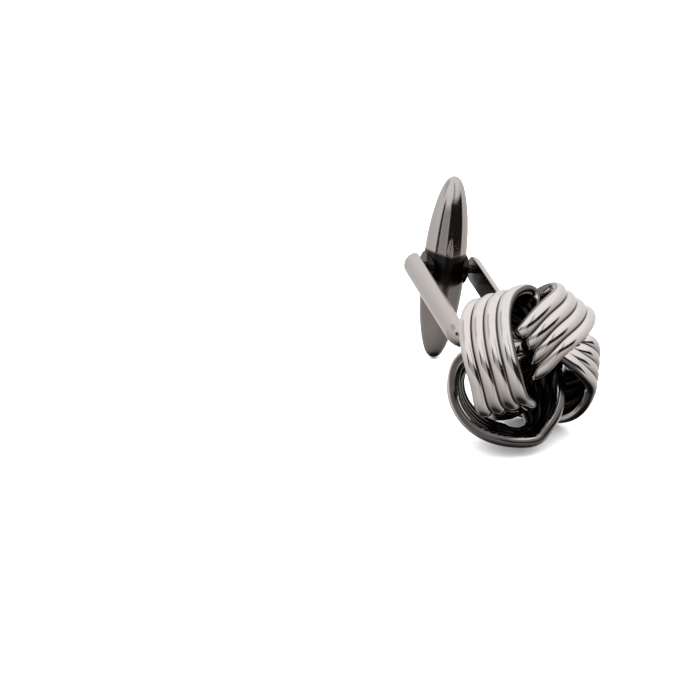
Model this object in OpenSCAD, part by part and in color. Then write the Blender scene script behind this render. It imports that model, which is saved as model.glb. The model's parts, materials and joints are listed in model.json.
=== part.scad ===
// Knot cufflink with a turning bar, lying on a table on its knot and on one end of its bar.
// Two bands of four polished rods weave a hollow round knot. A bent half round yoke joins
// the knot to a bullet shaped bar, which turns on a pin between the yoke's arms.
// Millimetres. The origin is under the middle of the whole cufflink, on the table. +Y runs along
// the yoke from the knot to the bar, +X to the right, +Z up.

/* [Knot] */
// Mean distance from the knot's centre to the middle of a band
knot_r = 5.53; // [5.45:0.02:5.61]
// Height of the knot along its own axis, as a share of a round one
flatten = 1.14; // [1.12:0.01:1.18]
// Mean latitude of a band, in degrees, towards the front of the knot
mid_lat = -4.4; // [-5:0.1:-3.8]
// Distance between the middles of two rods of a band
rod_pitch = 1.29; // [1.25:0.01:1.31]
// Width of a rod
rod_w = 1.3; // [1.24:0.01:1.34]
// Thickness of a rod, measured outwards from the knot
rod_t = 1.2; // [0.9:0.02:1.24]
// Thickness of the solder between two rods
web_t = 0.56; // [0.4:0.02:0.7]
// Radius of the arc that a band is bowed to across its rods
bow_r = 35.7; // [30.1:0.2:41.9]

/* [Yoke] */
// Distance from the hinge axis to the inside of the yoke's base
arm_len = 15.7; // [15.3:0.05:15.75]
// Width of a half round arm
arm_w = 2.46; // [2.2:0.02:2.6]
// Space between the two arms
arm_gap = 5.5; // [5.1:0.1:6]
// Radius inside the yoke's two bends
bend_r = 0.8; // [0.5:0.1:1.5]
// Diameter of the hinge pin
pin_d = 0.84; // [0.6:0.02:1]
// Depth to which the pin goes into each arm
pin_seat = 0.7; // [0.4:0.05:0.9]

/* [Bar] */
// Length of the bullet shaped bar
bar_len = 17.8; // [16:0.1:19]
// Greatest diameter of the bar
bar_d = 4.12; // [3.6:0.02:4.4]
// Diameter of the small flat on each end of the bar
tip_d = 0.9; // [0.6:0.1:1.4]
// Diameter of the hub that the pin goes through
hub_d = 3; // [2.8:0.02:3.6]
// Width of the hub between the arms
hub_w = 4.2; // [4:0.1:4.8]
// Lean of the bar from straight across the yoke, in degrees
bar_lean = 13.2; // [0:0.1:20]

/* [Resting place] */
// Rise of the yoke from the knot to the bar, in degrees
yoke_rise = 4.68; // [0:0.01:12]
// Roll of the yoke about its own length, right side down, in degrees
yoke_roll = 10.44; // [0:0.01:25]
// Hinge centre, to the right of the middle
hinge_x = -1.463; // [-4:0.001:4]
// Hinge centre, beyond the middle
hinge_y = 13.496; // [8:0.001:16]
// Hinge centre, above the table
hinge_z = 8.763; // [6:0.001:11]

/* [Hidden] */
$fn = 48;
GUNMETAL = [0.42, 0.40, 0.39];
DARK_GUNMETAL = [0.25, 0.24, 0.24];
// How the middle of a band weaves, a row for each wave on one turn round the knot's axis.
// The waves of 2 and 6 a turn are opposite on the two bands, which makes them cross.
// Columns: waves a turn, latitude cosine and sine in degrees, radius cosine and sine in mm
WEAVE = [
    [1, 12.5, 5.1, -0.36, -0.28],
    [2, 31.5, 7.4, 0.27, -1.73],
    [3, 0.7, 0.3, -0.01, 0.01],
    [4, -1.9, 1.1, 0.36, 0.21],
    [5, 0.5, -0.2, -0.08, 0.07],
    [6, -2.5, -0.6, 0, 0.18],
];
// How a band leans about its middle line: columns as for the latitude above
TWIST = [
    [1, -0.9, -10.8],
    [2, 25.1, 7.1],
    [3, -2.0, 6.1],
    [4, -8.4, 9.1],
    [5, -3.2, 3.7],
    [6, 0.1, -5.0],
];
// Mean lean of a band about its middle line, in degrees
mid_twist = -3.6;
// Knot centre from the hinge centre: across, along and above the yoke
KNOT_AT = [1.29, -23.02, 0.29];
// Turn of the knot about its own axis, tip of that axis off the yoke's length, and way it tips
KNOT_TURN = [127.3, 16.5, -54.7];
// Steps round a band, and rods in a band
rings = 90;
rods = 4;
// Points of a rod's rounded face and of the band's rounded edge, as angles in degrees
FACE_ANGLES = [130, 90, 50];
EDGE_ANGLES = [15, -15];
// Steps along half of the bar, and the shape of its taper
bar_steps = 12;
bar_round = 2.3;
bar_taper = 0.72;
// Gap all round the pin in the bar's bore and in the yoke's seats
bore_gap = 0.05;
seat_gap = 0.01;
half_gap = arm_gap / 2;
arm_r = arm_w / 2;
step = 0.01;

function unit(v) = v / norm(v);

// Sum of a table's waves at one angle, from column c (cosine) and c + 1 (sine), for band side s
function waves(table, c, phi, s) =
    let (parts = [for (w = table) (w[0] % 4 == 2 ? s : 1) * (w[c] * cos(w[0] * phi) + w[c + 1] * sin(w[0] * phi))])
    parts * [for (p = parts) 1];

// Middle line of a band: a point at latitude and radius that wave as it goes round
function band_mid(phi, s) =
    let (lat = mid_lat + waves(WEAVE, 1, phi, s))
    let (r = knot_r + waves(WEAVE, 3, phi, s))
    [r * cos(lat) * cos(phi), r * cos(lat) * sin(phi), r * sin(lat) * flatten];

// One cross section of a band: its outline set square to the middle line, bowed over bow_r
function band_ring(phi, s, outline) =
    let (mid = band_mid(phi, s))
    let (along = unit(band_mid(phi + step, s) - band_mid(phi - step, s)))
    let (flat_side = unit(cross(along, mid)))
    let (flat_out = cross(flat_side, along))
    let (twist = mid_twist + waves(TWIST, 1, phi, s))
    let (side = flat_side * cos(twist) + flat_out * sin(twist))
    let (out = flat_out * cos(twist) - flat_side * sin(twist))
    [for (p = outline)
        let (bow = p[0] / bow_r * 180 / PI)
        mid + side * (bow_r + p[1]) * sin(bow) + out * ((bow_r + p[1]) * cos(bow) - bow_r)];

// Outline of a band: four rods side by side, [across, outwards] from its middle
function rod_mid(i) = (i - (rods - 1) / 2) * rod_pitch;
function rod_point(i, a) = [rod_mid(i) + rod_w / 2 * cos(a), rod_t / 2 * sin(a)];
function band_face() = [
    for (i = [0 : rods - 1]) each concat(
        [for (a = FACE_ANGLES) rod_point(i, a)],
        i < rods - 1 ? [[rod_mid(i) + rod_pitch / 2, web_t / 2]] : [for (a = EDGE_ANGLES) rod_point(i, a)])];
function band_outline() = [for (up = [1, -1]) each [for (p = band_face()) p * up]];

// A closed band: cross sections all the way round, joined by triangles
module band(s) {
    outline = band_outline();
    n = len(outline);
    points = [for (k = [0 : rings - 1]) each band_ring(k * 360 / rings, s, outline)];
    faces = [
        for (k = [0 : rings - 1], i = [0 : n - 1])
            let (a = k * n + i)
            let (b = k * n + (i + 1) % n)
            let (c = ((k + 1) % rings) * n + i)
            let (d = ((k + 1) % rings) * n + (i + 1) % n)
            each [[a, d, b], [a, c, d]]];
    polyhedron(points = points, faces = faces);
}

module at_knot() {
    translate(KNOT_AT) rotate([0, KNOT_TURN[2], 0]) rotate([90 + KNOT_TURN[1], 0, 0]) rotate([0, 0, KNOT_TURN[0]])
        children();
}

// From the hinge's own frame, X along the pin and Y along the yoke, to the resting place
module resting() {
    translate([hinge_x, hinge_y, hinge_z]) rotate([yoke_rise, 0, 0]) rotate([0, yoke_roll, 0]) children();
}

// Half disc, flat side on the Y axis, that the arms and the base are drawn from
module half_disc() {
    intersection() {
        circle(r = arm_r);
        translate([0, -arm_r]) square([arm_r, arm_w]);
    }
}

// Half of the yoke on the +X side: round end, arm, bend and half of the base
module half_yoke() {
    straight = arm_len - bend_r;
    translate([half_gap, 0, 0]) intersection() {
        sphere(r = arm_r);
        translate([0, 0, -arm_r]) cube([arm_r, arm_r, arm_w]);
    }
    translate([half_gap, 0, 0]) rotate([90, 0, 0]) linear_extrude(straight) half_disc();
    translate([half_gap - bend_r, -straight, 0]) rotate([0, 0, -90])
        rotate_extrude(angle = 90) translate([bend_r, 0]) half_disc();
    translate([0, -arm_len, 0]) rotate([90, 0, 90]) linear_extrude(half_gap - bend_r)
        rotate([0, 0, 180]) half_disc();
}

module woven_band_a() {
    color(GUNMETAL) resting() at_knot() band(1);
}

module woven_band_b() {
    color(GUNMETAL) resting() at_knot() band(-1);
}

module yoke() {
    color(GUNMETAL) resting() difference() {
        union() {
            half_yoke();
            mirror([1, 0, 0]) half_yoke();
        }
        translate([-half_gap - pin_seat - seat_gap, 0, 0]) rotate([0, 90, 0])
            cylinder(r = pin_d / 2 + seat_gap, h = arm_gap + 2 * (pin_seat + seat_gap));
    }
}

module hinge_pin() {
    color(DARK_GUNMETAL) resting() translate([-half_gap - pin_seat, 0, 0]) rotate([0, 90, 0])
        cylinder(d = pin_d, h = arm_gap + 2 * pin_seat);
}

// Bullet shaped bar with its hub, turned about the hinge by its lean
module toggle_bar() {
    half = bar_len / 2;
    edge = [for (k = [-bar_steps : bar_steps])
        let (s = sin(90 * k / bar_steps))
        let (full = pow(1 - pow(abs(s), bar_round), bar_taper))
        [tip_d / 2 + (bar_d - tip_d) / 2 * full, half * s]];
    color(GUNMETAL) resting() rotate([-bar_lean, 0, 0]) difference() {
        union() {
            rotate_extrude() polygon(concat([[0, -half]], edge, [[0, half]]));
            rotate([0, 90, 0]) cylinder(d = hub_d, h = hub_w, center = true);
        }
        rotate([0, 90, 0]) cylinder(r = pin_d / 2 + bore_gap, h = hub_w + 1, center = true);
    }
}

woven_band_a();
woven_band_b();
yoke();
hinge_pin();
toggle_bar();
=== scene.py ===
import json
import math

import bpy
import numpy as np
from mathutils import Matrix, Vector


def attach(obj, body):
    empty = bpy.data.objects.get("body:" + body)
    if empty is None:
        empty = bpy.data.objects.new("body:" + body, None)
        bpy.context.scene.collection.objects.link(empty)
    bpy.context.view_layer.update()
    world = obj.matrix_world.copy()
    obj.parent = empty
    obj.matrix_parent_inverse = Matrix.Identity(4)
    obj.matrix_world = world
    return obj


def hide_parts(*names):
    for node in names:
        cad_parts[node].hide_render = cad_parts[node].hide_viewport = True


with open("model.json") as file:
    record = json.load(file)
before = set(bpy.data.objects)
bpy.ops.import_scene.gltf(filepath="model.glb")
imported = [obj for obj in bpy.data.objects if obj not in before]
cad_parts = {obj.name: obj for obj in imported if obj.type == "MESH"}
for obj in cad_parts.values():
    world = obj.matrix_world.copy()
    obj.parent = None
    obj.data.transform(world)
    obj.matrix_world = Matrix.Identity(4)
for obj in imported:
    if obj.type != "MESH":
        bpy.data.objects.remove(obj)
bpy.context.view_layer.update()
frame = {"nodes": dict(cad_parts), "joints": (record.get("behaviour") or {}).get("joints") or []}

MM = 0.001

# Where the hinge lies and how the yoke is turned, as the part rests on the table
HINGE = np.array(frame["joints"][0]["pos_m"]) / MM
YOKE_RISE, YOKE_ROLL = math.radians(4.68), math.radians(10.44)
BAR_LEAN = math.radians(13.2)

# Knot: mean radius, height as a share of a round one, and mean latitude of a band in degrees
KNOT_R, FLATTEN, MID_LAT = 5.53, 1.14, -4.4
# How the middle of a band weaves about a ball, a row for each wave on one turn round its axis.
# Columns: waves a turn, latitude cosine and sine in degrees, radius cosine and sine
WEAVE = np.array([
    [1, 12.5, 5.1, -0.36, -0.28],
    [2, 31.5, 7.4, 0.27, -1.73],
    [3, 0.7, 0.3, -0.01, 0.01],
    [4, -1.9, 1.1, 0.36, 0.21],
    [5, 0.5, -0.2, -0.08, 0.07],
    [6, -2.5, -0.6, 0, 0.18],
])
# How a band leans about its middle line: columns as for the latitude above
TWIST = np.array([
    [1, -0.9, -10.8],
    [2, 25.1, 7.1],
    [3, -2.0, 6.1],
    [4, -8.4, 9.1],
    [5, -3.2, 3.7],
    [6, 0.1, -5.0],
])
# Mean lean of a band, in degrees
MID_TWIST = -3.6
# Knot centre from the hinge centre. Turn about its own axis, tip of that axis off the yoke's
# length, and way it tips
KNOT_AT = np.array([1.29, -23.02, 0.29])
KNOT_TURN = np.radians([127.3, 16.5, -54.7])

# Rods of a band, and the radius that it is bowed to across them. They are a little wider than in
# the CAD solid, so that they run into each other where the solder fills the grooves
ROD_PITCH, ROD_W, ROD_T, RODS, BOW_R = 1.29, 1.36, 1.2, 4, 35.7
# Points on the face of a rod and round that of the edge rod, and steps round a band
FACE_POINTS, EDGE_POINTS, BAND_STEPS = 16, 30, 600
# Painted shade on a band, each part fading in between two distances: on the inner side, which
# faces the hollow, up to LINING_END from the band's middle, on the narrow edges from EDGE_START
# on, by EDGE_SHADE, and as a dark line in each groove, up to GROOVE_END from it
LINING_END, EDGE_START, EDGE_SHADE, GROOVE_END = (2.1, 2.4), (2.5, 2.541), 0.82, (0.03, 0.08)

# Yoke, with the radius of the small round edges of its flat side. The flat inner side, as deep as
# ARM_FLAT, is darkened by ARM_SHADE as painted shade between the arms. Points of the outline on
# that side, a small edge and the back, and steps on each stretch of the yoke
ARM_LEN, ARM_W, ARM_GAP, BEND_R, ARM_EDGE = 15.7, 2.46, 5.5, 0.8, 0.14
ARM_FLAT, ARM_SHADE = 0.02, 0.95
FLAT_POINTS, CORNER_POINTS, BACK_POINTS = 10, 7, 38
END_STEPS, ARM_STEPS, BEND_STEPS, BASE_STEPS = 23, 60, 16, 8

# Bar: body, powers of its taper and of its tips, and its hub with the radius of its rims and of
# the first ring about its poles. Steps along half of the body and round it, and on a face, along
# a rim and round the hub
BAR_LEN, BAR_D, TIP_D, BAR_ROUND, BAR_TAPER, TIP_ROUND = 17.8, 4.12, 0.9, 2.3, 0.72, 30
HUB_D, HUB_W, HUB_RIM, HUB_POLE = 3.0, 4.2, 0.16, 0.3
BODY_STEPS, BODY_SIDES, HUB_STEPS, RIM_STEPS, HUB_SIDES = 120, 160, 12, 8, 128
# Painted shade on the bar at each height from its middle: black and duller between the arms, and
# darker on its lower half. The hub is painted dark all over. The heights rise by SHADE_SLOPE a
# millimetre sideways
SHADE = (-8.9, -5.0, -1.6, -0.4, 1.2, 1.4), (0.35, 0.5, 0.62, 0.95, 0.97, 0)
HUB_SHADE = (-1.9, -0.9), (0.9, 0.98)
SHADE_SLOPE = 0.2

# Photograph's viewing angle: height above the table, and turn to the left of the yoke's length
ELEVATION, HEADING = math.radians(22.2), math.radians(16.623)


def about_x(a):
    """Turn by angle a about X, as a 3x3 matrix."""
    return np.array([[1, 0, 0], [0, math.cos(a), -math.sin(a)], [0, math.sin(a), math.cos(a)]])


def about_y(a):
    """Turn by angle a about Y."""
    return np.array([[math.cos(a), 0, math.sin(a)], [0, 1, 0], [-math.sin(a), 0, math.cos(a)]])


def about_z(a):
    """Turn by angle a about Z."""
    return np.array([[math.cos(a), -math.sin(a), 0], [math.sin(a), math.cos(a), 0], [0, 0, 1]])


def resting(points):
    """Points in the hinge's own frame, X along the pin and Y along the yoke, as they rest."""
    return points @ (about_x(YOKE_RISE) @ about_y(YOKE_ROLL)).T + HINGE


def at_knot(points):
    """Points in the knot's own frame, its axis along Z, in the hinge's own frame."""
    turn = about_y(KNOT_TURN[2]) @ about_x(math.pi / 2 + KNOT_TURN[1]) @ about_z(KNOT_TURN[0])
    return points @ turn.T + KNOT_AT


def leaning(points):
    """Points in the bar's own frame, its length along Z and the pin along X, as they rest."""
    return resting(points @ about_x(-BAR_LEAN).T)


def unit(v):
    """Vectors along the last axis, each divided by its length."""
    return v / np.linalg.norm(v, axis=-1, keepdims=True)


def waves(table, column, phi, side):
    """Sum over a table's rows of cosine and sine waves of phi. The waves of 2 and 6 a turn change
    sign with side."""
    n = table[:, 0][:, None]
    sign = np.where(n % 4 == 2, side, 1)
    return (sign * (table[:, column][:, None] * np.cos(n * phi)
                    + table[:, column + 1][:, None] * np.sin(n * phi))).sum(0)


def skin(rings, poles=None):
    """Quads over a grid of rings, each joined to the next one point by point. The grid closes on
    itself, or ends in a fan of triangles about each of the two given pole points."""
    m, n = rings.shape[:2]
    vertices = rings.reshape(-1, 3)
    steps = m if poles is None else m - 1
    i, j = np.meshgrid(np.arange(steps), np.arange(n), indexing="ij")
    i2, j2 = (i + 1) % m, (j + 1) % n
    faces = np.stack([i * n + j, i * n + j2, i2 * n + j2, i2 * n + j], -1).reshape(-1, 4).tolist()
    if poles is not None:
        first, last = len(vertices), len(vertices) + 1
        vertices = np.vstack([vertices, poles])
        j = np.arange(n)
        end = (m - 1) * n
        faces += np.stack([np.full(n, first), (j + 1) % n, j], -1).tolist()
        faces += np.stack([np.full(n, last), end + j, end + (j + 1) % n], -1).tolist()
    return vertices, faces


def volume(vertices, faces):
    """Signed volume that a closed mesh encloses: a sixth of the triple product of the corners,
    summed over its triangles."""
    total = 0.0
    for size in (3, 4):
        f = np.array([x for x in faces if len(x) == size])
        if len(f):
            for k in range(1, size - 1):
                a, b, c = vertices[f[:, 0]], vertices[f[:, k]], vertices[f[:, k + 1]]
                total += np.einsum("ij,ij->", a, np.cross(b, c)) / 6
    return total


def piece(name, skins, material, painted_shade):
    """One smooth mesh object from closed skins, each turned to face outwards. The last argument
    tells, vertex by vertex, how much painted shade darkens the metal there, from 0 to 1."""
    vertices, faces, count = [], [], 0
    for v, f in skins:
        if volume(v, f) < 0:
            f = [x[::-1] for x in f]
        vertices.append(v)
        faces += [[k + count for k in x] for x in f]
        count += len(v)
    mesh = bpy.data.meshes.new(name)
    mesh.from_pydata((np.vstack(vertices) * MM).tolist(), [], faces)
    mesh.polygons.foreach_set("use_smooth", np.ones(len(mesh.polygons), bool))
    mesh.update()
    mesh.materials.append(material)
    shade_attribute = mesh.attributes.new("painted_shade", "FLOAT", "POINT")
    shade_attribute.data.foreach_set("value", painted_shade.astype(np.float32))
    shown = bpy.data.objects.new(name, mesh)
    bpy.context.scene.collection.objects.link(shown)
    return shown


# Materials

# Patterns of the plating, as scale a metre, detail and roughness of their noise: clouds in the
# colour, fine changes of roughness, dents of the buffing wheel and hairline scratches
CLOUDS, FINE, DENTS, LINES = (180, 3), (900, 4, 0.6), (420, 2), (900, 3)
# From and to which value of the noise the first two and the scratches show
CLOUDS_SPAN, FINE_SPAN, LINES_SPAN = (0.35, 0.65), (0.35, 0.7), (0.62, 0.75)
# Way that the scratches run, and how their noise is stretched along them
LINES_TURN, LINES_STRETCH = (0.5, 0.3, 0.9), (1, 14, 14)
# Depth of the relief in metres
RELIEF = 0.0001


def math_node(nodes, links, operation, a, b=None):
    """A Math node fed with sockets or numbers; returns its output."""
    node = nodes.new("ShaderNodeMath")
    node.operation = operation
    for socket, value in zip(node.inputs, (a, b)):
        if value is None:
            continue
        if isinstance(value, (int, float)):
            socket.default_value = value
        else:
            links.new(value, socket)
    return node.outputs[0]


def noise(nodes, links, where, scale, detail, roughness=0.5):
    """A Noise texture on the given coordinates; returns its value output."""
    node = nodes.new("ShaderNodeTexNoise")
    node.inputs["Scale"].default_value = scale
    node.inputs["Detail"].default_value = detail
    node.inputs["Roughness"].default_value = roughness
    links.new(where, node.inputs["Vector"])
    return node.outputs[0]


def ramp(nodes, links, value, low, high, out_low=0, out_high=1):
    """Maps value from low..high to out_low..out_high, held at both ends."""
    node = nodes.new("ShaderNodeMapRange")
    node.clamp = True
    for socket, number in zip(list(node.inputs)[1:5], (low, high, out_low, out_high)):
        socket.default_value = number
    links.new(value, node.inputs[0])
    return node.outputs[0]


def mixed(nodes, links, kind, factor, a, b):
    """A Mix node of colours (RGBA) or numbers (FLOAT) fed with sockets or values."""
    node = nodes.new("ShaderNodeMix")
    node.data_type = kind
    word = "Color" if kind == "RGBA" else "Float"
    find = {socket.identifier: socket for socket in [*node.inputs, *node.outputs]}
    links.new(factor, find["Factor_Float"])
    for name, value in zip(("A_" + word, "B_" + word), (a, b)):
        if isinstance(value, (tuple, float, int)):
            find[name].default_value = value
        else:
            links.new(value, find[name])
    return find["Result_" + word]


def polish_group():
    """Node group for hand polished plating: slight clouding of colour and roughness, soft dents
    of the buffing wheel and hairline scratches, all from Object coordinates in metres."""
    group = bpy.data.node_groups.new("polished_plating", "ShaderNodeTree")
    face = group.interface
    for name, kind, value in (("Light Tone", "NodeSocketColor", (0.4, 0.39, 0.38, 1)),
                              ("Warm Tone", "NodeSocketColor", (0.4, 0.37, 0.35, 1)),
                              ("Least Roughness", "NodeSocketFloat", 0.05),
                              ("Most Roughness", "NodeSocketFloat", 0.12),
                              ("Waviness", "NodeSocketFloat", 0.1),
                              ("Hairlines", "NodeSocketFloat", 0.05)):
        face.new_socket(name, in_out="INPUT", socket_type=kind).default_value = value
    for name, kind in (("Color", "NodeSocketColor"), ("Roughness", "NodeSocketFloat"),
                       ("Height", "NodeSocketFloat")):
        face.new_socket(name, in_out="OUTPUT", socket_type=kind)
    nodes, links = group.nodes, group.links
    given = nodes.new("NodeGroupInput").outputs
    made = nodes.new("NodeGroupOutput").inputs
    where = nodes.new("ShaderNodeTexCoord").outputs["Object"]
    clouds = ramp(nodes, links, noise(nodes, links, where, *CLOUDS), *CLOUDS_SPAN)
    links.new(mixed(nodes, links, "RGBA", clouds, given["Light Tone"], given["Warm Tone"]),
              made["Color"])
    fine = ramp(nodes, links, noise(nodes, links, where, *FINE), *FINE_SPAN)
    links.new(mixed(nodes, links, "FLOAT", fine, given["Least Roughness"], given["Most Roughness"]),
              made["Roughness"])
    dents = math_node(nodes, links, "MULTIPLY", noise(nodes, links, where, *DENTS),
                      given["Waviness"])
    stretch = nodes.new("ShaderNodeMapping")
    stretch.inputs["Rotation"].default_value = LINES_TURN
    stretch.inputs["Scale"].default_value = LINES_STRETCH
    links.new(where, stretch.inputs["Vector"])
    lines = ramp(nodes, links, noise(nodes, links, stretch.outputs[0], *LINES), *LINES_SPAN)
    scratches = math_node(nodes, links, "MULTIPLY", lines, given["Hairlines"])
    links.new(math_node(nodes, links, "SUBTRACT", dents, scratches), made["Height"])
    return group


def plated(name, group, light, warm, roughness, waviness, hairlines, bump, painted_shade=None):
    """A metal material that takes its colour, roughness and bump from the polish group. The last
    argument is the near-black colour and the roughness of painted shade, which a mesh attribute
    mixes in."""
    material = bpy.data.materials.new(name)
    material.use_nodes = True
    nodes, links = material.node_tree.nodes, material.node_tree.links
    shader = nodes["Principled BSDF"]
    shader.inputs["Metallic"].default_value = 1.0
    polish = nodes.new("ShaderNodeGroup")
    polish.node_tree = group
    for socket, value in (("Light Tone", (*light, 1)), ("Warm Tone", (*warm, 1)),
                          ("Least Roughness", roughness[0]), ("Most Roughness", roughness[1]),
                          ("Waviness", waviness), ("Hairlines", hairlines)):
        polish.inputs[socket].default_value = value
    colour, rough = polish.outputs["Color"], polish.outputs["Roughness"]
    if painted_shade is not None:
        shade_attribute = nodes.new("ShaderNodeAttribute")
        shade_attribute.attribute_name = "painted_shade"
        dark, dull = painted_shade
        colour = mixed(nodes, links, "RGBA", shade_attribute.outputs["Fac"], colour, (*dark, 1))
        rough = mixed(nodes, links, "FLOAT", shade_attribute.outputs["Fac"], rough, dull)
    links.new(colour, shader.inputs["Base Color"])
    links.new(rough, shader.inputs["Roughness"])
    relief = nodes.new("ShaderNodeBump")
    relief.inputs["Strength"].default_value = bump
    relief.inputs["Distance"].default_value = RELIEF
    links.new(polish.outputs["Height"], relief.inputs["Height"])
    links.new(relief.outputs["Normal"], shader.inputs["Normal"])
    return material


POLISH = polish_group()
# What the three polished metals share: least and most roughness, waviness, hairlines, strength of
# the bump, and the near-black colour and roughness of their painted shade
MIRROR = (0.05, 0.1), 0.35, 0.1, 0.2, ((0.012, 0.011, 0.011), 0.22)
# The yoke and the bar take darker copies of the knot's gunmetal: painted shade, as they look darker
# than the knot under this light
KNOT_METAL = plated("light_gunmetal", POLISH, (0.47, 0.46, 0.455), (0.50, 0.455, 0.43), *MIRROR)
YOKE_METAL = plated("mid_gunmetal", POLISH, (0.335, 0.327, 0.322), (0.355, 0.322, 0.303), *MIRROR)
BAR_METAL = plated("deep_gunmetal", POLISH, (0.34, 0.331, 0.326), (0.36, 0.32, 0.297), *MIRROR)
# The pin is painted near black: painted shade, as it lies in the shade between the arms
PIN_METAL = plated("dark_pin", POLISH, (0.06, 0.058, 0.058), (0.07, 0.064, 0.06),
                   (0.25, 0.4), 0.3, 0.4, 0.4)


# The knot

def rod_outline():
    """Outline of the rods side by side, [across, outwards]: half ellipses from groove to groove
    along the outer side, round the edge rod, and the same turned half round for the inner side."""
    groove = math.acos(ROD_PITCH / ROD_W)
    spans = [(math.pi - groove, groove, FACE_POINTS)] * (RODS - 1)
    spans.append((math.pi - groove, -groove, EDGE_POINTS))
    outer = []
    for i, (start, stop, count) in enumerate(spans):
        a = np.linspace(start, stop, count, endpoint=False)
        middle = (i - (RODS - 1) / 2) * ROD_PITCH
        outer.append(np.stack([middle + ROD_W / 2 * np.cos(a), ROD_T / 2 * np.sin(a)], -1))
    outer = np.vstack(outer)
    return np.vstack([outer, -outer])


def band_middle(phi, side):
    """Middle line of a band: a point at latitude and radius that wave with its longitude phi."""
    lat = np.radians(MID_LAT + waves(WEAVE, 1, phi, side))
    r = KNOT_R + waves(WEAVE, 3, phi, side)
    return np.stack([r * np.cos(lat) * np.cos(phi), r * np.cos(lat) * np.sin(phi),
                     r * np.sin(lat) * FLATTEN], -1)


def band_painted_shade(outline):
    """How much painted shade darkens each point of the outline: the inner side short of its
    corners, the narrow edges and the grooves between the rods."""
    off_middle, outwards = np.abs(outline[:, 0]), outline[:, 1]
    grooves = (np.arange(1, RODS) - RODS / 2) * ROD_PITCH
    off_groove = np.abs(outline[:, :1] - grooves).min(1)
    lining = (np.interp(outwards, (-ROD_T / 4, ROD_T / 4), (1, 0))
              * np.interp(off_middle, LINING_END, (1, 0)))
    edges = np.interp(off_middle, EDGE_START, (0, EDGE_SHADE))
    return np.maximum.reduce([lining, edges, np.interp(off_groove, GROOVE_END, (1, 0))])


def knot_band(side):
    """A closed band: the rod outline set square to the band's middle line, leaning by the twist
    waves and bowed over an arc of radius BOW_R, and carried once round the knot's axis."""
    phi = np.linspace(0, 2 * math.pi, BAND_STEPS, endpoint=False)
    small = 1e-4
    mid = band_middle(phi, side)
    along = unit(band_middle(phi + small, side) - band_middle(phi - small, side))
    flat_side = unit(np.cross(along, mid))
    flat_out = np.cross(flat_side, along)
    twist = np.radians(MID_TWIST + waves(TWIST, 1, phi, side))[:, None]
    across = flat_side * np.cos(twist) + flat_out * np.sin(twist)
    out = flat_out * np.cos(twist) - flat_side * np.sin(twist)
    outline = rod_outline()
    bow, reach = outline[:, 0] / BOW_R, BOW_R + outline[:, 1]
    points = (mid[:, None] + across[:, None] * (reach * np.sin(bow))[None, :, None]
              + out[:, None] * (reach * np.cos(bow) - BOW_R)[None, :, None])
    return skin(resting(at_knot(points))), np.tile(band_painted_shade(outline), BAND_STEPS)


# Each band carries its painted shade, point by point, as a mesh attribute
for letter, side in (("a", 1), ("b", -1)):
    surface, painted_shade = knot_band(side)
    band = piece("polished_band_" + letter, [surface], KNOT_METAL, painted_shade)
    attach(band, "link")
    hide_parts("woven_band_" + letter)


# The yoke

def half_round():
    """Half disc outline, [outwards, across]: flat side, small round edges of radius ARM_EDGE and
    round back, which each edge meets without a corner."""
    radius = ARM_W / 2
    centre = math.sqrt((radius - ARM_EDGE) ** 2 - ARM_EDGE ** 2)
    meet = math.atan2(centre, ARM_EDGE)
    flat = np.stack([np.zeros(FLAT_POINTS), np.linspace(-centre, centre, FLAT_POINTS)], -1)
    a = np.linspace(math.pi, meet, CORNER_POINTS + 1)[1:]
    corner = np.stack([ARM_EDGE + ARM_EDGE * np.cos(a), centre + ARM_EDGE * np.sin(a)], -1)
    b = np.linspace(meet, -meet, BACK_POINTS + 2)[1:-1]
    back = radius * np.stack([np.cos(b), np.sin(b)], -1)
    return np.vstack([flat, corner, back, corner[::-1] * [1, -1]])


def bent_yoke():
    """Half round outline carried along a U: up the arms, round the bends and along the base. Past
    the hinge the outline shrinks as a ball does, which rounds the arms' ends. With the surface
    comes a mark for each point, 1 on the flat inner side and 0 elsewhere."""
    radius, half_gap, straight = ARM_W / 2, ARM_GAP / 2, ARM_LEN - BEND_R
    a = np.linspace(math.pi / 2, 0, END_STEPS + 1)[1:]
    end = np.stack([np.full(END_STEPS, half_gap), radius * np.sin(a)], -1)
    down = np.linspace(0, -straight, ARM_STEPS + 1)[1:]
    arm = np.stack([np.full(ARM_STEPS, half_gap), down], -1)
    b = np.linspace(0, math.pi / 2, BEND_STEPS + 1)[1:]
    turn = np.stack([np.cos(b), -np.sin(b)], -1)
    bend = [half_gap - BEND_R, -straight] + BEND_R * turn
    inwards = np.linspace(half_gap - BEND_R, 0, BASE_STEPS + 1)[1:]
    base = np.stack([inwards, np.full(BASE_STEPS, -ARM_LEN)], -1)
    path = np.vstack([end, arm, bend, base])
    out = np.vstack([np.tile([1.0, 0.0], (END_STEPS + ARM_STEPS, 1)), turn,
                     np.tile([0.0, -1.0], (BASE_STEPS, 1))])
    scale = np.ones(len(path))
    scale[:END_STEPS] = np.cos(a)
    # The other half is the mirror image, without the step in the middle
    path = np.vstack([path, path[-2::-1] * [-1, 1]])
    out = np.vstack([out, out[-2::-1] * [-1, 1]])
    scale = np.concatenate([scale, scale[-2::-1]])[:, None]
    outline = half_round()
    flat = path[:, None] + out[:, None] * (scale * outline[:, 0])[..., None]
    points = np.concatenate([flat, (scale * outline[:, 1])[..., None]], -1)
    poles = np.array([[half_gap, radius, 0], [-half_gap, radius, 0]])
    inside = np.append(np.tile(outline[:, 0] < ARM_FLAT, len(path)), [1, 1])
    return skin(resting(points), resting(poles)), inside


# The yoke's flat inner side carries painted shade
surface, inside = bent_yoke()
yoke = piece("bent_yoke", [surface], YOKE_METAL, ARM_SHADE * inside)
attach(yoke, "link")
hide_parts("yoke")


# The bar

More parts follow.
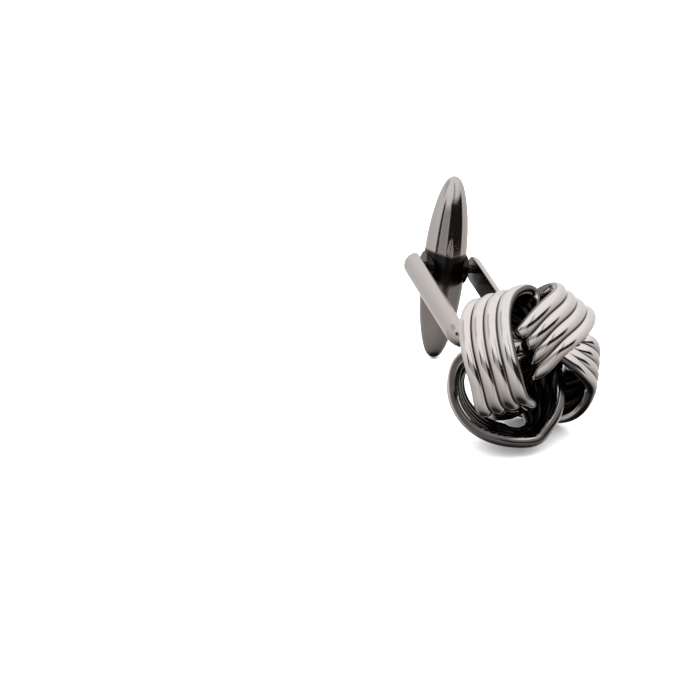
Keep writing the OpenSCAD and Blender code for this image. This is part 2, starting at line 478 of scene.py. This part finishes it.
def lathe(profile, sides):
    """Profile of [radius, height] turned about Z, a ring of points for each of its points."""
    a = np.linspace(0, 2 * math.pi, sides, endpoint=False)
    r, z = profile[:, :1], np.broadcast_to(profile[:, 1:], (len(profile), sides))
    return np.stack([r * np.cos(a), r * np.sin(a), z], -1)


def bullet_body():
    """Long bullet, pointed both ways: its radius falls from the middle as a power of the height,
    down to a small tip that a high power rounds off. Rings and poles."""
    half, tip = BAR_LEN / 2, TIP_D / 2
    s = np.sin(np.linspace(0, math.pi / 2, BODY_STEPS, endpoint=False))
    r = ((BAR_D / 2 - tip) * (1 - s ** BAR_ROUND) ** BAR_TAPER
         + tip * (1 - s ** TIP_ROUND) ** 0.5)
    top = np.stack([r, half * s], -1)
    profile = np.vstack([top[:0:-1] * [1, -1], top])
    return lathe(profile, BODY_SIDES), np.array([[0, 0, -half], [0, 0, half]])


def hub():
    """Short cylinder along X: flat faces, and rims rounded by a quarter circle. Rings and poles."""
    half, inner = HUB_W / 2, HUB_D / 2 - HUB_RIM
    a = np.linspace(0, math.pi / 2, RIM_STEPS + 1)
    out = np.linspace(HUB_POLE, inner, HUB_STEPS, endpoint=False)
    face = np.stack([out, np.full(HUB_STEPS, half)], -1)
    rim = np.stack([inner + HUB_RIM * np.sin(a), half - HUB_RIM + HUB_RIM * np.cos(a)], -1)
    top = np.vstack([face, rim])
    profile = np.vstack([top * [1, -1], top[::-1]])
    z_to_x = np.array([[0, 0, -1], [0, 1, 0], [1, 0, 0]])
    return lathe(profile, HUB_SIDES) @ z_to_x, np.array([[-half, 0, 0], [half, 0, 0]])


# The bar and its hub carry painted shade by height
shells, painted_shade = [], []
for (rings, poles), shade in ((bullet_body(), SHADE), (hub(), HUB_SHADE)):
    shells.append(skin(leaning(rings), leaning(poles)))
    x, _, z = np.vstack([rings.reshape(-1, 3), poles]).T
    painted_shade.append(np.interp(z - SHADE_SLOPE * np.abs(x), *shade))
bar = piece("bullet_bar", shells, BAR_METAL, np.concatenate(painted_shade))
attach(bar, "bar")
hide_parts("toggle_bar")

pin = frame["nodes"]["hinge_pin"]
pin.data.materials.clear()
pin.data.materials.append(PIN_METAL)


# The studio

# Light on the table and the backdrop, level and from straight above, and the heights in degrees
# between which the one turns into the other
LEVEL, ABOVE, ABOVE_SPAN = (1.6, 1.6, 1.6, 1), (5.0, 5.0, 5.0, 1), (20, 75)
# Light that the metal mirrors: from straight below, then from and to which height each layer takes
# over, and its colour
UNDER = (0.03, 0.03, 0.03, 1)
LAYERS = ((-64, -50, (0.33, 0.32, 0.31, 1)), (-50, -18, (1.0, 0.96, 0.94, 1)),
          (-15, 22, (1.32, 1.32, 1.32, 1)), (22, 40, (1.62, 1.57, 1.53, 1)))
# Openings in the layers: azimuth from and to, height from and to, how the height slants with
# the azimuth, and brightness. Their borders fade over FADE degrees to both sides
OPENINGS = ((-125, -75, 24, 50, 0, 0.95), (12, 30, -24, 64, 0, 0.72), (-58, -42, 4, 30, 0, 0.05),
            (-40, 0, 4, 28, 0, 0.6), (2, 88, 4, 33, 0.22, 0.02))
FADE = 3
DEGREES = 180 / math.pi
# Table: half its width in metres, and roughness, tones and clouds of its white card
TABLE_REACH, CARD_ROUGHNESS = 3.0, 0.9
CARD_TONES, CARD_CLOUDS = ((0.93, 0.93, 0.93, 1), (0.95, 0.95, 0.95, 1)), (30, 2)


def card_material():
    """Matt white card with the faintest cloudiness."""
    material = bpy.data.materials.new("white_card")
    material.use_nodes = True
    nodes, links = material.node_tree.nodes, material.node_tree.links
    shader = nodes["Principled BSDF"]
    shader.inputs["Roughness"].default_value = CARD_ROUGHNESS
    shader.inputs["Specular IOR Level"].default_value = 0.0
    where = nodes.new("ShaderNodeTexCoord").outputs["Object"]
    clouds = noise(nodes, links, where, *CARD_CLOUDS)
    links.new(mixed(nodes, links, "RGBA", clouds, *CARD_TONES), shader.inputs["Base Color"])
    return material


def between(nodes, links, value, low, high):
    """1 where value lies from low to high, fading to 0 at both ends."""
    rise = ramp(nodes, links, value, low - FADE, low + FADE)
    fall = ramp(nodes, links, value, high - FADE, high + FADE, 1, 0)
    return math_node(nodes, links, "MULTIPLY", rise, fall)


def studio_light(nodes, links, where, height):
    """Light of a white tent by direction, as height above the table and azimuth from straight in
    front of the object: bright roof, paler sides, grey and black openings in front, dark below."""
    dots = []
    for axis in ((math.cos(HEADING), -math.sin(HEADING), 0),
                 (-math.sin(HEADING), -math.cos(HEADING), 0)):
        node = nodes.new("ShaderNodeVectorMath")
        node.operation = "DOT_PRODUCT"
        links.new(where, node.inputs[0])
        node.inputs[1].default_value = axis
        dots.append(node.outputs["Value"])
    azimuth = math_node(nodes, links, "MULTIPLY",
                        math_node(nodes, links, "ARCTAN2", *dots), DEGREES)
    colour = UNDER
    for low, high, layer in LAYERS:
        colour = mixed(nodes, links, "RGBA", ramp(nodes, links, height, low, high), colour, layer)
    for left, right, bottom, top, slant, shade in OPENINGS:
        shift = math_node(nodes, links, "MULTIPLY", azimuth, slant)
        slanted = math_node(nodes, links, "ADD", height, shift)
        mask = math_node(nodes, links, "MULTIPLY", between(nodes, links, azimuth, left, right),
                         between(nodes, links, slanted, bottom, top))
        colour = mixed(nodes, links, "RGBA", mask, colour, (shade, shade, shade, 1))
    return colour


table_mesh = bpy.data.meshes.new("table_top")
corners = [(-1, -1), (1, -1), (1, 1), (-1, 1)]
table_mesh.from_pydata([(x * TABLE_REACH, y * TABLE_REACH, 0) for x, y in corners],
                       [], [(0, 1, 2, 3)])
table_mesh.materials.append(card_material())
table = bpy.data.objects.new("table_top", table_mesh)
bpy.context.scene.collection.objects.link(table)
table.visible_glossy = False

# The metal mirrors the tent; everything else is lit by the plain light
world = bpy.data.worlds.new("studio")
bpy.context.scene.world = world
world.use_nodes = True
nodes, links = world.node_tree.nodes, world.node_tree.links
mirrored = nodes.new("ShaderNodeLightPath").outputs["Is Glossy Ray"]
where = nodes.new("ShaderNodeTexCoord").outputs["Generated"]
parts = nodes.new("ShaderNodeSeparateXYZ")
links.new(where, parts.inputs[0])
height = math_node(nodes, links, "MULTIPLY",
                   math_node(nodes, links, "ARCSINE", parts.outputs["Z"]), DEGREES)
plain = mixed(nodes, links, "RGBA", ramp(nodes, links, height, *ABOVE_SPAN), LEVEL, ABOVE)
tent = studio_light(nodes, links, where, height)
links.new(mixed(nodes, links, "RGBA", mirrored, plain, tent), nodes["Background"].inputs["Color"])


# The camera

# A point near the knot's middle, in millimetres from the hinge, and the pixel where it is seen. The
# camera stands DISTANCE metres from that point; FOCAL is its focal length in pixels
KNOT_POINT, SEEN_AT, FRAME_PX = (1.016, -23.234, -1.532), (523, 368), 700
DISTANCE, FOCAL, SENSOR, CLIP = 0.300, 3321.0, 36.0, (0.01, 20)

back = Vector((-math.cos(ELEVATION) * math.sin(HEADING), -math.cos(ELEVATION) * math.cos(HEADING),
               math.sin(ELEVATION)))
right = Vector((math.cos(HEADING), -math.sin(HEADING), 0))
up = back.cross(right)
off_x, off_y = [(seen - FRAME_PX / 2) / FOCAL for seen in SEEN_AT]
aim = (-back + right * off_x - up * off_y).normalized()
turn = aim.rotation_difference(-back).to_matrix() @ Matrix((right, up, back)).transposed()
stand = Vector(HINGE + KNOT_POINT) * MM + back * DISTANCE
camera_data = bpy.data.cameras.new("camera")
camera_data.lens = FOCAL / FRAME_PX * SENSOR
camera_data.sensor_width = SENSOR
camera_data.clip_start, camera_data.clip_end = CLIP
camera = bpy.data.objects.new("camera", camera_data)
bpy.context.scene.collection.objects.link(camera)
camera.matrix_world = Matrix.Translation(stand) @ turn.to_4x4()
bpy.context.scene.camera = camera
bpy.context.scene.view_settings.view_transform = "Standard"
